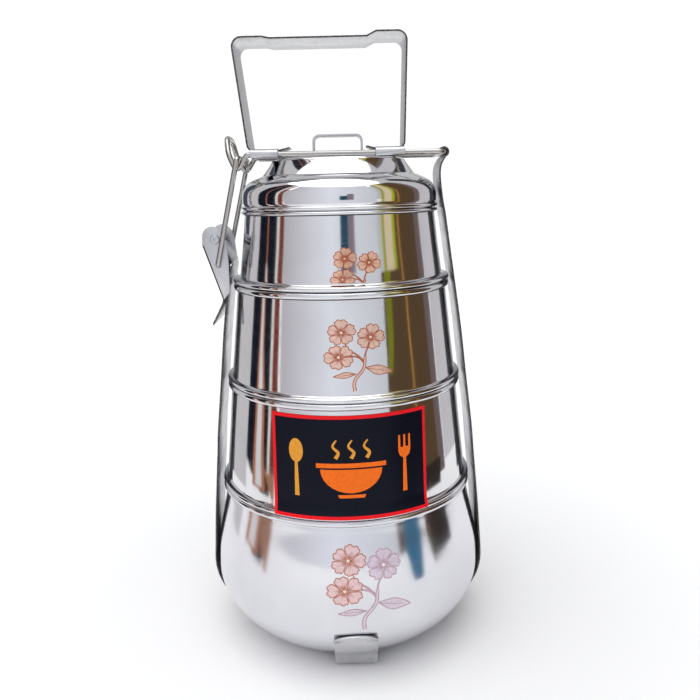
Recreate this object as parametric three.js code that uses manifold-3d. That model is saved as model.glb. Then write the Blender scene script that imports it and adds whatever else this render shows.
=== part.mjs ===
// A four-tier steel tiffin carrier. Three containers and a lid stand on a round-bellied base
// container. A frame of flat steel strip holds them, a wire bail lies over the lid, and a
// lever latch with a wire link pulls the bail down. Millimetres, +Z up, front towards -Y,
// the bail's hinge at +X and the latch at -X, the axis of the containers on the Z axis.
import * as THREE from "three";
import { mergeVertices } from "three/addons/utils/BufferGeometryUtils.js";
import Module from "manifold-3d";

const wasm = await Module();
wasm.setup();

// ---- driving dimensions ----
const GAP = 0.3;              // air between pieces that touch
const SIDES = 40;             // facets round a container
const SHEET = 0.8;            // container wall
const STRIP = 0.9;            // strap thickness
const STRAP_WIDTH = 27;
const FOOT_WIDTH = 22;        // front-to-back strap
const WIRE = 2.7;             // bail and link wire diameter
const WIRE_SIDES = 8;

const BELLY_RADIUS = 74.5;
const SEATS = [               // mouth height, rim radius, from the base container up
  { z: 88.1, rim: 69.0, bead: 3.0 },
  { z: 145.0, rim: 63.3, bead: 3.2 },
  { z: 196.8, rim: 57.4, bead: 3.2 },
  { z: 233.9, rim: 51.5, bead: 1.7 },
];
const RIM_OVERHANG = 1.8;     // rim beyond the wall
const BASE_BEAD = 3.3;        // height of the bead round a container's foot
const SPIGOT = 6;             // depth that a container reaches into the one below
const LID_TOP = 259.1;

const BAIL_Z = 261.5;         // wire centre over the lid
const BAIL_HALF = 16.2;       // wire centre from the middle plane
const HINGE = { x: 53.3, z: 261 };
const HOOK = { x: -49.7, z: 260.1 };    // the link's crossbar in the bail's valley
const LEVER_PIVOT = { x: -64.0, z: 220.3 };
const LINK_PIVOT = { x: -62.9, z: 206.9 };
const LEVER_HALF = 14.8;      // outside of the lever's side plates
const STRAP_PIVOT = { x: 51, z: 1.8 };  // where each upright's foot is riveted

const steel = (color, roughness) =>
  new THREE.MeshStandardMaterial({ color, roughness, metalness: 1 });
const polished = steel(0xd4d5da, 0.12);
const satin = steel(0xb9babd, 0.4);
const wireSteel = steel(0xa9a5a0, 0.3);
const paper = new THREE.MeshStandardMaterial({ color: 0x15161c, roughness: 0.45, metalness: 0 });

const group = new THREE.Group();

function place(name, geometry, material) {
  const mesh = new THREE.Mesh(geometry, material.clone());
  mesh.name = name;
  group.add(mesh);
  return mesh;
}

// ---- solids ----
function toManifold(geometry) {
  const bare = geometry.clone();
  bare.deleteAttribute("normal");
  bare.deleteAttribute("uv");
  const merged = mergeVertices(bare, 1e-4);
  return new wasm.Manifold(new wasm.Mesh({
    numProp: 3,
    vertProperties: new Float32Array(merged.attributes.position.array),
    triVerts: new Uint32Array(merged.index.array),
  }));
}

function toGeometry(solid) {
  const mesh = solid.getMesh();
  const geometry = new THREE.BufferGeometry();
  geometry.setAttribute("position", new THREE.BufferAttribute(mesh.vertProperties, 3));
  geometry.setIndex(new THREE.BufferAttribute(mesh.triVerts, 1));
  geometry.computeVertexNormals();
  return geometry;
}

function join(geometries) {
  return geometries.map(toManifold).reduce((whole, next) => whole.add(next));
}

// Turns a profile of [radius, height] points round the Z axis.
function turned(profile, sides = SIDES, closed = false) {
  const points = profile.map(([r, z]) => new THREE.Vector2(r, z));
  if (closed) points.push(points[0].clone());
  return new THREE.LatheGeometry(points, sides).rotateX(Math.PI / 2);
}

// Extrudes an outline of [x, z] points along Y, from y0 to y1.
function slab(outline, y0, y1) {
  const shape = new THREE.Shape(outline.map(([x, z]) => new THREE.Vector2(x, z)));
  const geometry = new THREE.ExtrudeGeometry(shape, { depth: y1 - y0, bevelEnabled: false });
  return geometry.rotateX(Math.PI / 2).translate(0, y1, 0);
}

// A pin with its axis along Y.
function pinY(x, z, radius, y0, y1, sides = 16) {
  const pin = new THREE.CylinderGeometry(radius, radius, y1 - y0, sides);
  return pin.translate(x, (y0 + y1) / 2, z);
}

function arc(cx, cz, radius, from, to, steps) {
  const points = [];
  for (let i = 0; i <= steps; i++) {
    const angle = THREE.MathUtils.degToRad(from + ((to - from) * i) / steps);
    points.push([cx + radius * Math.cos(angle), cz + radius * Math.sin(angle)]);
  }
  return points;
}

// The outline of a bent strip, from the line along the middle of its thickness.
function stripOutline(line, thickness) {
  const left = [];
  const right = [];
  line.forEach(([x, z], i) => {
    const [ax, az] = line[Math.max(i - 1, 0)];
    const [bx, bz] = line[Math.min(i + 1, line.length - 1)];
    const before = new THREE.Vector2(x - ax, z - az).normalize();
    const after = new THREE.Vector2(bx - x, bz - z).normalize();
    const along = before.clone().add(after).normalize();
    const edge = i === 0 ? after : before;
    const reach = thickness / 2 / Math.max(Math.abs(along.dot(edge)), 0.5);
    left.push([x - along.y * reach, z + along.x * reach]);
    right.push([x + along.y * reach, z - along.x * reach]);
  });
  return [...left, ...right.reverse()];
}

function strip(line, thickness, y0, y1) {
  return slab(stripOutline(line, thickness), y0, y1);
}

// Smooths a line through a few points.
function smoothLine(points, steps) {
  const curve = new THREE.SplineCurve(points.map(([x, z]) => new THREE.Vector2(x, z)));
  return curve.getSpacedPoints(steps).map((p) => [p.x, p.y]);
}

// A round wire along straight runs with rounded corners; a corner is [x, y, z, cut],
// where cut is how far from the corner its bend begins.
function bentWire(corners, steps) {
  const path = new THREE.CurvePath();
  const spots = corners.map(([x, y, z]) => new THREE.Vector3(x, y, z));
  let start = spots[0];
  for (let i = 1; i < spots.length - 1; i++) {
    const cut = corners[i][3];
    const into = spots[i].clone().sub(spots[i - 1]).normalize();
    const out = spots[i + 1].clone().sub(spots[i]).normalize();
    const bendStart = spots[i].clone().addScaledVector(into, -cut);
    const bendEnd = spots[i].clone().addScaledVector(out, cut);
    path.add(new THREE.LineCurve3(start, bendStart));
    path.add(new THREE.QuadraticBezierCurve3(bendStart, spots[i], bendEnd));
    start = bendEnd;
  }
  path.add(new THREE.LineCurve3(start, spots[spots.length - 1]));
  const section = new THREE.Shape(
    arc(0, 0, WIRE / 2, 0, 360 - 360 / WIRE_SIDES, WIRE_SIDES - 1)
      .map(([x, y]) => new THREE.Vector2(x, y)));
  return new THREE.ExtrudeGeometry(section, { steps, extrudePath: path, bevelEnabled: false });
}

// ---- containers ----
// The rolled bead round a mouth, from under the bead, over it, to the inside of the wall.
function mouth({ z, rim, bead }) {
  return [
    [rim - RIM_OVERHANG, z - bead],
    [rim - 0.4, z - bead + 0.4],
    [rim, z - bead / 2],
    [rim - 0.4, z - 0.4],
    [rim - RIM_OVERHANG, z],
    [rim - RIM_OVERHANG - SHEET, z - 0.6],
  ];
}

const bellyOutside = [
  [40, 1.3],
  [47, 3.4],
  [54, 7.2],
  [60, 11.6],
  [66, 17.6],
  [70.4, 24],
  [73.3, 31],
  [BELLY_RADIUS, 39],
  [73.8, 51],
  [71.6, 63],
  [68.6, 77],
];
const bellyInside = bellyOutside
  .slice(1)
  .map(([r, z]) => [r - SHEET, z + (z < 20 ? 0.7 : 0)])
  .reverse();

place("base_container", turned([
  [0, 4.6],
  [30, 4.6],
  [33, 1.3],
  ...bellyOutside,
  ...mouth(SEATS[0]),
  ...bellyInside,
  [39.6, 2.3],
  [33.6, 2.3],
  [30.4, 5.6],
  [0, 5.6],
]), polished);

// An upper container stands on the seat below with the bead round its foot, reaches into
// the mouth below with its spigot, and ends in the seat above.
function container(below, above, wallFoot) {
  const seatZ = below.z + GAP;
  const mouthInside = below.rim - RIM_OVERHANG - SHEET;
  const spigot = mouthInside - 0.6;
  const wallTop = above.rim - RIM_OVERHANG;
  const floorZ = seatZ - SPIGOT;
  return turned([
    [0, floorZ],
    [spigot - 5, floorZ],
    [spigot - 1.2, floorZ + 1.4],
    [spigot, floorZ + 4.4],
    [spigot, seatZ],
    [below.rim - 0.5, seatZ],
    [below.rim, seatZ + BASE_BEAD / 2],
    [below.rim - 0.5, seatZ + BASE_BEAD - 0.4],
    [wallFoot - 0.4, seatZ + BASE_BEAD],
    [wallFoot, seatZ + BASE_BEAD + 1.6],
    [wallTop, above.z - above.bead - 1],
    ...mouth(above).slice(1),
    [wallTop - SHEET, above.z - above.bead - 1],
    [wallFoot - SHEET, seatZ + BASE_BEAD + 1.6],
    [spigot - SHEET, seatZ],
    [spigot - SHEET, floorZ + 4.4],
    [spigot - 5.3, floorZ + SHEET],
    [0, floorZ + SHEET],
  ]);
}

const WALL_FOOT = { container_3: 66.4, container_2: 60.5, container_1: 53.5 };
place("container_3", container(SEATS[0], SEATS[1], WALL_FOOT.container_3), polished);
place("container_2", container(SEATS[1], SEATS[2], WALL_FOOT.container_2), polished);
place("container_1", container(SEATS[2], SEATS[3], WALL_FOOT.container_1), polished);

// ---- label, a printed sheet round the front of container_3; it laps over the foot's bead ----
const LABEL = { bottom: 89.7, top: 139.4, from: -34.3, to: 39.3, thickness: 0.25 };
function labelRadius(z) {
  const foot = SEATS[0].z + GAP + BASE_BEAD + 1.6;
  const head = SEATS[1].z - SEATS[1].bead - 1;
  const wallTop = SEATS[1].rim - RIM_OVERHANG;
  const share = (z - foot) / (head - foot);
  return THREE.MathUtils.lerp(WALL_FOOT.container_3, wallTop, share) + GAP;
}
const labelInside = [
  [SEATS[0].rim + GAP, LABEL.bottom],
  [SEATS[0].rim + GAP, 90.6],
  [labelRadius(93) + 0.9, 93],
  [labelRadius(96) + 0.1, 96],
  [labelRadius(LABEL.top), LABEL.top],
];
const labelBand = turned([
  ...labelInside.map(([r, z]) => [r + LABEL.thickness, z]),
  ...[...labelInside].reverse(),
], SIDES, true);
const sector = new THREE.Shape([
  new THREE.Vector2(0, 0),
  ...arc(0, 0, 90, LABEL.from - 90, LABEL.to - 90, 6).map(([x, y]) => new THREE.Vector2(x, y)),
]);
const wedge = new THREE.ExtrudeGeometry(sector, { depth: 80, bevelEnabled: false });
wedge.translate(0, 0, 80);
place("label", toGeometry(toManifold(labelBand).intersect(toManifold(wedge))), paper);

// ---- lid and its handle ----
const lidSeat = SEATS[3].z + GAP;
const lidSpigot = SEATS[3].rim - RIM_OVERHANG - SHEET - 0.6;
place("lid", turned([
  [lidSpigot - SHEET, lidSeat - SPIGOT + 1],
  [lidSpigot, lidSeat - SPIGOT + 1],
  [lidSpigot, lidSeat],
  [51.1, lidSeat],
  [51.5, lidSeat + 0.8],
  [51.1, lidSeat + 1.7],
  [50.6, lidSeat + 2],
  [50.9, 238],
  [50.3, 243.6],
  [48.4, 246.6],
  [42.6, 250.2],
  [40.1, 251.2],
  [34.6, LID_TOP - 1.6],
  [33, LID_TOP - 0.3],
  [31, LID_TOP],
  [0, LID_TOP],
  [0, LID_TOP - SHEET],
  [32.6, LID_TOP - SHEET - 0.2],
  [39.4, 250.6],
  [42.1, 249.4],
  [47.7, 246],
  [49.5, 243.3],
  [50, 238],
  [lidSpigot - SHEET, lidSeat + 1.2],
], SIDES, true), polished);

const LID_HANDLE = { half: 12.9, top: 271.4, width: 11, thickness: 1, foot: 5 };
const lidHandleFoot = LID_TOP + GAP + LID_HANDLE.thickness / 2;
const lidHandleSide = LID_HANDLE.half - LID_HANDLE.thickness / 2;
const lidHandleCrown = LID_HANDLE.top - LID_HANDLE.thickness / 2;
const rightHalf = [
  [lidHandleSide - LID_HANDLE.foot, lidHandleFoot],
  ...arc(lidHandleSide - 1.2, lidHandleFoot + 1.2, 1.2, -90, 0, 3),
  ...arc(lidHandleSide - 3, lidHandleCrown - 3, 3, 0, 90, 4),
];
const leftHalf = rightHalf.map(([x, z]) => [-x, z]).reverse();
place("lid_handle",
  strip([...rightHalf, ...leftHalf], LID_HANDLE.thickness,
    -LID_HANDLE.width / 2, LID_HANDLE.width / 2),
  satin);

// ---- frame ----
// Holes for rivets are cut straight down through the strips.
const RIVET = { shank: 1.4, hole: 1.75, head: 2.6, headHeight: 0.8 };
function drilled(geometry, holes) {
  const drill = (x, y) => {
    const bit = new THREE.CylinderGeometry(RIVET.hole, RIVET.hole, 8, 12);
    return bit.rotateX(Math.PI / 2).translate(x, y, 2);
  };
  const start = toManifold(geometry);
  return toGeometry(holes.reduce((rest, [x, y]) => rest.subtract(toManifold(drill(x, y))), start));
}

const FOOT_Z = 0.5;                         // middle of the lowest strip
const UPPER_Z = 2 * FOOT_Z + GAP + 0.5;     // middle of a strip lying on another
const centreRivets = [[-2.5, 0], [9.5, 0]];
const footRivets = [-7, 7];

const underStrap = slab(
  [[-54.5, 0], [54.5, 0], [54.5, 2 * FOOT_Z], [-54.5, 2 * FOOT_Z]],
  -STRAP_WIDTH / 2, STRAP_WIDTH / 2);
const underHoles = [-STRAP_PIVOT.x, STRAP_PIVOT.x]
  .flatMap((x) => footRivets.map((y) => [x, y]));
place("under_strap", drilled(underStrap, [...centreRivets, ...underHoles]), satin);

// The front-to-back strap steps over the under strap and its ends turn up the belly as clips.
const FOOT_STRAP_X = 3.5;                     // it sits a little to the right
const clipSide = [
  [15.5, UPPER_Z],
  [19, FOOT_Z],
  [53, FOOT_Z],
  [56.2, 2.2],
  [61, 10.9],
  [66.8, 17],
  [71.3, 23.5],
  [74.1, 30.4],
];
const crossLine = [...clipSide.map(([y, z]) => [-y, z]).reverse(), ...clipSide];
const crossStrap = strip(crossLine, 2 * FOOT_Z, -FOOT_WIDTH / 2, FOOT_WIDTH / 2);
crossStrap.rotateZ(Math.PI / 2).translate(FOOT_STRAP_X, 0, 0);
place("cross_strap", drilled(crossStrap, centreRivets), satin);

// A flat rivet: its lower end is flush with the underside of the frame.
function rivet(x, y) {
  const headZ = UPPER_Z + 0.5 + GAP;
  const body = turned([
    [0, 0.1],
    [RIVET.shank, 0.1],
    [RIVET.shank, headZ],
    [RIVET.head, headZ],
    [RIVET.head - 0.5, headZ + RIVET.headHeight],
    [0, headZ + RIVET.headHeight],
  ], 12);
  return body.translate(x, y, 0);
}
centreRivets.forEach(([x, y], i) => place(`centre_rivet_${i + 1}`, rivet(x, y), satin));
["left", "right"].forEach((side) => {
  const x = side === "left" ? -STRAP_PIVOT.x : STRAP_PIVOT.x;
  footRivets.forEach((y, i) => place(`${side}_strap_rivet_${i + 1}`, rivet(x, y), satin));
});

// The uprights follow the belly closely, then lean in past the rims.
const uprightLow = [
  [46.5, STRAP_PIVOT.z],
  [55, STRAP_PIVOT.z],
  [58.4, 4.9],
  [61.2, 10.6],
  [66.7, 16.9],
  [71.2, 23.5],
  [74.1, 30.7],
];
const uprightHigh = smoothLine([
  [75.3, 39],
  [74.6, 51],
  [71.6, 88],
  [68.9, 118],
  [65.6, 145],
  [62.6, 171],
  [58.9, 197],
], 16);
const CURL = 2.2;                           // middle radius of the rolled ends
const rightLine = [
  ...uprightLow,
  ...uprightHigh,
  [54.1, 229.8],
  [52.6, 238],
  [51.6, 246],
  [51.3, 251],
  [53.6, HINGE.z - CURL - 0.5],
  ...arc(HINGE.x, HINGE.z, CURL, -70, 210, 14),
];
place("right_strap",
  drilled(strip(rightLine, STRIP, -STRAP_WIDTH / 2, STRAP_WIDTH / 2),
    footRivets.map((y) => [STRAP_PIVOT.x, y])),
  satin);

const leftLine = [
  ...uprightLow,
  ...uprightHigh,
  [57.4, 204],
  [57.1, 208],
  [59.6, 214],
  ...arc(-LEVER_PIVOT.x, LEVER_PIVOT.z, CURL, -120, 170, 14),
].map(([x, z]) => [-x, z]);
// Above its shoulders the left strap is a narrower tongue, which fits inside the lever.
const TONGUE_HALF = 11.5;
const shoulder = new THREE.BoxGeometry(30, 10, 30);
const leftStrap = [-1, 1].reduce(
  (rest, side) => rest.subtract(toManifold(
    shoulder.clone().translate(-62, side * (TONGUE_HALF + 5), 206.5 + 15))),
  toManifold(strip(leftLine, STRIP, -STRAP_WIDTH / 2, STRAP_WIDTH / 2)));
place("left_strap",
  drilled(toGeometry(leftStrap), footRivets.map((y) => [-STRAP_PIVOT.x, y])),
  satin);

// ---- bail: one wire, its ends butted inside the right strap's curl ----
const bailSide = [
  [HINGE.x, 0.3, HINGE.z],
  [HINGE.x, BAIL_HALF, HINGE.z, 4],
  [-45.2, BAIL_HALF, BAIL_Z, 1.8],
  [-50.6, BAIL_HALF, 253.1, 4.2],
  [-54.6, 14.2, 262, 3],
  [-55.9, 8.6, 270.4, 5],
];
const bailCorners = [
  ...bailSide,
  ...bailSide.map(([x, y, z, cut]) => [x, -y, z, cut]).reverse(),
];
place("bail", bentWire(bailCorners, 96), wireSteel);

// ---- link: a U of wire from the bail's valley to the lever ----
const LINK_TOP = 19.4;
const LINK_FOOT = 17.8;
const linkSide = [
  [LINK_PIVOT.x, 12.4, LINK_PIVOT.z],
  [LINK_PIVOT.x, LINK_FOOT, LINK_PIVOT.z, 2],
  [HOOK.x, LINK_TOP, HOOK.z, 3],
];
place("link", bentWire([
  ...linkSide,
  ...linkSide.map(([x, y, z, cut]) => [x, -y, z, cut]).reverse(),
], 54), wireSteel);

// ---- lever: two side plates, a web along the outside and a finger lip ----
const leverPlate = [
  [-70.8, 217.3],
  [-61.2, 189],
  [-58, 193],
  [-57.7, 209],
  [-58.6, 219.5],
  [-60, 223.6],
  ...arc(-65.2, 221.4, 5.4, 30, 165, 7),
];
const PLATE = 0.9;
const leverWeb = strip([
  [-70.3, 217.4],
  [-61.6, 190],
  [-61.6, 188.2],
  [-62.3, 186.2],
  [-67.8, 175.9],
], PLATE, -LEVER_HALF, LEVER_HALF);
const leverBody = join([
  slab(leverPlate, -LEVER_HALF, -LEVER_HALF + PLATE),
  slab(leverPlate, LEVER_HALF - PLATE, LEVER_HALF),
  leverWeb,
]);
const leverHoles = join([
  pinY(LEVER_PIVOT.x, LEVER_PIVOT.z, 1.8, -20, 20),
  pinY(LINK_PIVOT.x, LINK_PIVOT.z, 1.8, -20, 20),
]);
place("lever", toGeometry(leverBody.subtract(leverHoles)), satin);

// The lever turns on a hollow rivet through the left strap's curl.
const head = LEVER_HALF + GAP;
const pivotRivet = turned([
  [0.8, -head - 0.9],
  [2.1, -head - 0.9],
  [2.4, -head],
  [1.45, -head],
  [1.45, head],
  [2.4, head],
  [2.1, head + 0.9],
  [0.8, head + 0.9],
], 12, true);
pivotRivet.rotateX(Math.PI / 2).translate(LEVER_PIVOT.x, 0, LEVER_PIVOT.z);
place("lever_rivet", pivotRivet, satin);

// ---- handle: one strip; its feet are plates rolled round both wires of the bail ----
const HANDLE = { thickness: 0.9, leftTop: 317.1, rightTop: 318.5, grip: 316.3, corner: 4.5 };
const leftTopZ = HANDLE.leftTop - HANDLE.thickness / 2;
const rightTopZ = HANDLE.rightTop - HANDLE.thickness / 2;
const gripZ = HANDLE.grip - HANDLE.thickness / 2;
const SLEEVE = WIRE / 2 + GAP + HANDLE.thickness / 2;
const plateZ = BAIL_Z + SLEEVE;
const handleLine = [
  [-38, plateZ],
  ...arc(-42.2, plateZ + 3, 3, 270, 186, 4),
  ...arc(-50.1 + HANDLE.corner, leftTopZ - HANDLE.corner, HANDLE.corner, 183, 90, 5),
  [-35.5, leftTopZ],
  [-32, gripZ],
  [15.5, gripZ],
  [20, rightTopZ],
  ...arc(34.9 - HANDLE.corner, rightTopZ - HANDLE.corner, HANDLE.corner, 90, -1, 5),
  ...arc(30.6, plateZ + 3, 3, -2, -90, 4),
  [25, plateZ],
];
const handleStrip = strip(handleLine, HANDLE.thickness, -STRAP_WIDTH / 2, STRAP_WIDTH / 2);
const sleeveLine = [
  ...arc(BAIL_HALF, BAIL_Z, SLEEVE, -50, 90, 7),
  ...arc(-BAIL_HALF, BAIL_Z, SLEEVE, 90, 230, 7),
];
function footPlate(x0, x1) {
  const outline = stripOutline(sleeveLine, HANDLE.thickness);
  return slab(outline, -x1, -x0).rotateZ(Math.PI / 2);
}
function tongue(root, tip) {
  const under = plateZ - HANDLE.thickness / 2;
  const outline = [[root, under], [tip, under + 1.7], [tip, under + 2.3], [root, under + 1]];
  return slab(root < tip ? outline : outline.reverse(), -7, 7);
}
const handleBody = join([
  handleStrip,
  footPlate(-43.4, -29.6),
  footPlate(18.9, 33.4),
  tongue(-30.4, -24.5),
  tongue(19.6, 14.6),
]);
place("handle", toGeometry(handleBody), satin);

export default group;
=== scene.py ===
from math import cos, hypot, pi, radians, sin

import bpy
from mathutils import Matrix, Vector


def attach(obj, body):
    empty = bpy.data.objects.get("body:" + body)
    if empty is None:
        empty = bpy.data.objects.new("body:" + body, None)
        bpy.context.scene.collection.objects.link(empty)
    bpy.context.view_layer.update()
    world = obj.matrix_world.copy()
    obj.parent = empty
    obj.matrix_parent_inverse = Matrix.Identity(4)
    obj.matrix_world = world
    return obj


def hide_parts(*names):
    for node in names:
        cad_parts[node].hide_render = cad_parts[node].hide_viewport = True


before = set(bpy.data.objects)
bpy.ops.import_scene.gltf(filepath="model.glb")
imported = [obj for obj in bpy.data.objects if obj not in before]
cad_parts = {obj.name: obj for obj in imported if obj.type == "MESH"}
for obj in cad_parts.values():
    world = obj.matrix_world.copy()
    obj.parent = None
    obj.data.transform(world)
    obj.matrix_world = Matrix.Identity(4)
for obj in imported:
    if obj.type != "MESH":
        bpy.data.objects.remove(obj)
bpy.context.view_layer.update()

# ---- Base container ---------------------------------------------------------------------
# A round-bellied pot spun from stainless sheet, with a raised panel in its underside and
# its mouth rolled outwards into a bead. Lengths are in millimetres, as on a maker's drawing.
MM = 0.001
SHEET = 0.8
BASE_MOUTH = {"height": 88.1, "rim": 69.0, "bead": 3.0}
RIM_OVERHANG = 1.8


def deselect():
    """Leaves edit mode, with nothing picked out for the next step."""
    if bpy.context.object and bpy.context.object.mode != "OBJECT":
        bpy.ops.object.mode_set(mode="OBJECT")
    bpy.ops.object.select_all(action="DESELECT")


def flowing(points, steps=6):
    """A smooth line through a few points."""
    line = []
    for i in range(len(points) - 1):
        a, b, c, d = (Vector(points[min(max(k, 0), len(points) - 1)]) for k in range(i - 1, i + 3))
        for step in range(steps):
            t = step / steps
            spot = 0.5 * (2 * b + (c - a) * t + (2 * a - 5 * b + 4 * c - d) * t ** 2
                          + (3 * b - a - 3 * c + d) * t ** 3)
            line.append(tuple(spot))
    return line + [tuple(points[-1])]


def bend(across, up, radius, start, end, steps=8, tall=None):
    """Points round a bend about a centre, by angle from the outward direction."""
    tall = radius if tall is None else tall
    turns = [radians(start + (end - start) * i / steps) for i in range(steps + 1)]
    return [(across + radius * cos(turn), up + tall * sin(turn)) for turn in turns]


def inward(line, distance):
    """The same line, moved sideways by the sheet's thickness."""
    moved = []
    for i, spot in enumerate(line):
        before, after = Vector(line[max(i - 1, 0)]), Vector(line[min(i + 1, len(line) - 1)])
        along = (after - before).normalized()
        moved.append((spot[0] - along.y * distance, spot[1] + along.x * distance))
    return moved


def mouth_bead(height, rim, bead):
    """From the crease under the bead, round it and over the lip, to the inside of the wall."""
    half = (RIM_OVERHANG + SHEET) / 2
    return bend(rim - half, height - bead / 2, half, -112, 180, 18, tall=bead / 2)


def spun(name, section, sides=160, corner=38):
    """A disc drawn through the rings of a section, as sheet is spun over a form."""
    deselect()
    radius, height = section[0]
    bpy.ops.mesh.primitive_circle_add(
        vertices=sides, radius=radius * MM, fill_type="NGON", location=(0, 0, height * MM))
    piece = bpy.context.object
    piece.name = piece.data.name = name
    bpy.ops.object.transform_apply(location=True, rotation=False, scale=False)
    bpy.ops.object.mode_set(mode="EDIT")
    bpy.ops.mesh.select_mode(type="FACE")
    bpy.ops.mesh.select_all(action="SELECT")
    for wider, higher in section[1:]:
        bpy.ops.mesh.extrude_region_move(
            TRANSFORM_OT_translate={"value": (0, 0, (higher - height) * MM)})
        growth = wider / radius
        bpy.ops.transform.resize(value=(growth, growth, 1), center_override=(0, 0, 0))
        radius, height = wider, higher
    bpy.ops.mesh.select_all(action="SELECT")
    bpy.ops.mesh.normals_make_consistent(inside=False)
    bpy.ops.object.mode_set(mode="OBJECT")
    bpy.ops.object.shade_smooth_by_angle(angle=radians(corner))
    return piece


class Finish:
    """A material being mixed, node by node."""

    def __init__(self, name):
        self.material = bpy.data.materials.new(name)
        self.material.use_nodes = True
        self.tree = self.material.node_tree
        self.shader = self.tree.nodes["Principled BSDF"]
        self.place = self.node("ShaderNodeTexCoord").outputs["Object"]

    def node(self, kind, inputs=None, **settings):
        made = self.tree.nodes.new(kind)
        for setting, value in settings.items():
            setattr(made, setting, value)
        for socket, value in (inputs or {}).items():
            if isinstance(value, bpy.types.NodeSocket):
                self.tree.links.new(value, made.inputs[socket])
            else:
                made.inputs[socket].default_value = value
        return made

    def math(self, operation, first, second=0.0):
        return self.node("ShaderNodeMath", {0: first, 1: second}, operation=operation).outputs[0]

    def noise(self, where, scale, detail=3.0, roughness=0.5):
        return self.node("ShaderNodeTexNoise", {
            "Vector": where, "Scale": scale, "Detail": detail, "Roughness": roughness,
        }).outputs[0]

    def between(self, amount, low, high, start=0.0, end=1.0):
        return self.node("ShaderNodeMapRange", {
            "Value": amount, "From Min": start, "From Max": end, "To Min": low, "To Max": high,
        }).outputs[0]

    def mix(self, amount, first, second):
        mixer = self.node("ShaderNodeMix", {0: amount}, data_type="RGBA")
        for socket, colour in ((6, first), (7, second)):
            if isinstance(colour, bpy.types.NodeSocket):
                self.tree.links.new(colour, mixer.inputs[socket])
            else:
                mixer.inputs[socket].default_value = (*colour, 1)
        return mixer.outputs[2]

    def feed(self, socket, value):
        if isinstance(value, bpy.types.NodeSocket):
            self.tree.links.new(value, self.shader.inputs[socket])
        else:
            self.shader.inputs[socket].default_value = value

    def relief(self, height, depth, under=None):
        inputs = {"Height": height, "Distance": depth, "Strength": 1.0}
        if under is not None:
            inputs["Normal"] = under
        return self.node("ShaderNodeBump", inputs).outputs[0]


def spun_steel(name, tint, gloss, haze, ripple):
    """Polished sheet: fine rings from the lathe, faint smudges, and walls that are a
    little wavy, so that what they mirror wobbles."""
    finish = Finish(name)
    parts = finish.node("ShaderNodeSeparateXYZ", {0: finish.place}).outputs
    away = finish.math("SQRT", finish.math(
        "ADD", finish.math("MULTIPLY", parts[0], parts[0]),
        finish.math("MULTIPLY", parts[1], parts[1])))
    section = finish.node("ShaderNodeCombineXYZ", {0: away, 2: parts[2]}).outputs[0]
    rings = finish.noise(section, 1400, 4, 0.7)
    smudges = finish.noise(finish.place, 34, 5, 0.62)
    waves = finish.noise(finish.place, 26, 1)
    finish.feed("Base Color", finish.mix(
        finish.between(smudges, 0, 1, 0.35, 0.7), tint, [0.93 * c for c in tint]))
    finish.feed("Metallic", 1.0)
    finish.feed("Roughness", finish.math(
        "ADD", finish.between(smudges, gloss, haze, 0.3, 0.75),
        finish.between(rings, -0.02, 0.03, 0.3, 0.7)))
    finish.feed("Anisotropic", 0.55)
    finish.feed("Tangent", finish.node(
        "ShaderNodeTangent", direction_type="RADIAL", axis="Z").outputs[0])
    finish.feed("Normal", finish.relief(
        rings, 0.0000015, finish.relief(waves, ripple)))
    return finish.material


def paint(piece, material):
    piece.data.materials.clear()
    piece.data.materials.append(material)
    return piece


def shadow_seam(piece, low, high, least):
    """Painted shade: faces in the crease under a rolled bead take a near-black finish, standing in
    for the shade there.
    """
    if len(piece.data.materials) == 1:
        piece.data.materials.append(crease_painted_shade)
    for face in piece.data.polygons:
        if low * MM < face.center.z < high * MM and hypot(*face.center[:2]) > least * MM:
            face.material_index = 1


# Painted shade: a near-black, mottled finish for the crease faces, standing in for the shade in
# the crease under a bead.
crease_shade = Finish("crease_painted_shade")
crease_shade.feed("Base Color", crease_shade.mix(
    crease_shade.noise(crease_shade.place, 300), (0.02, 0.02, 0.025), (0.09, 0.09, 0.1)))
crease_shade.feed("Metallic", 0.4)
crease_shade.feed("Roughness", 0.5)
crease_painted_shade = crease_shade.material


belly = flowing([
    (36, 1.3), (41, 1.5), (47, 3.4), (54, 7.2), (60, 11.6), (66, 17.6), (70.4, 24), (73.3, 31),
    (74.45, 39), (73.8, 51), (71.6, 63), (68.6, 77), (67.4, 83.4), (67.2, 84.6),
])
base_container = spun("base_container_sheet", [
    (2, 4.6), (30, 4.6), (31.4, 4.2), (32.6, 2.4), (34, 1.4),
    *belly,
    *mouth_bead(**BASE_MOUTH),
    *reversed(inward(belly[4:-3], SHEET)),
    (34, 2.6), (32.8, 3.4), (31.6, 5.2), (30.2, 5.6), (2, 5.6),
])
paint(base_container, spun_steel("base_container_steel", (0.73, 0.73, 0.77), 0.08, 0.15, 0.00008))
shadow_seam(base_container, 84.75, 85.5, 66.9)
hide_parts("base_container")
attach(base_container, "frame")

# ---- Three upper containers -------------------------------------------------------------
# Tapered containers spun from sheet. Each has a bead pressed round its foot, which sits on
# the mouth below, a shallow spigot under it that reaches inside, and a rolled mouth.
SEAT_GAP = 0.3
SPIGOT = 6
polished = spun_steel("container_steel", (0.74, 0.74, 0.76), 0.05, 0.1, 0.0001)


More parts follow.
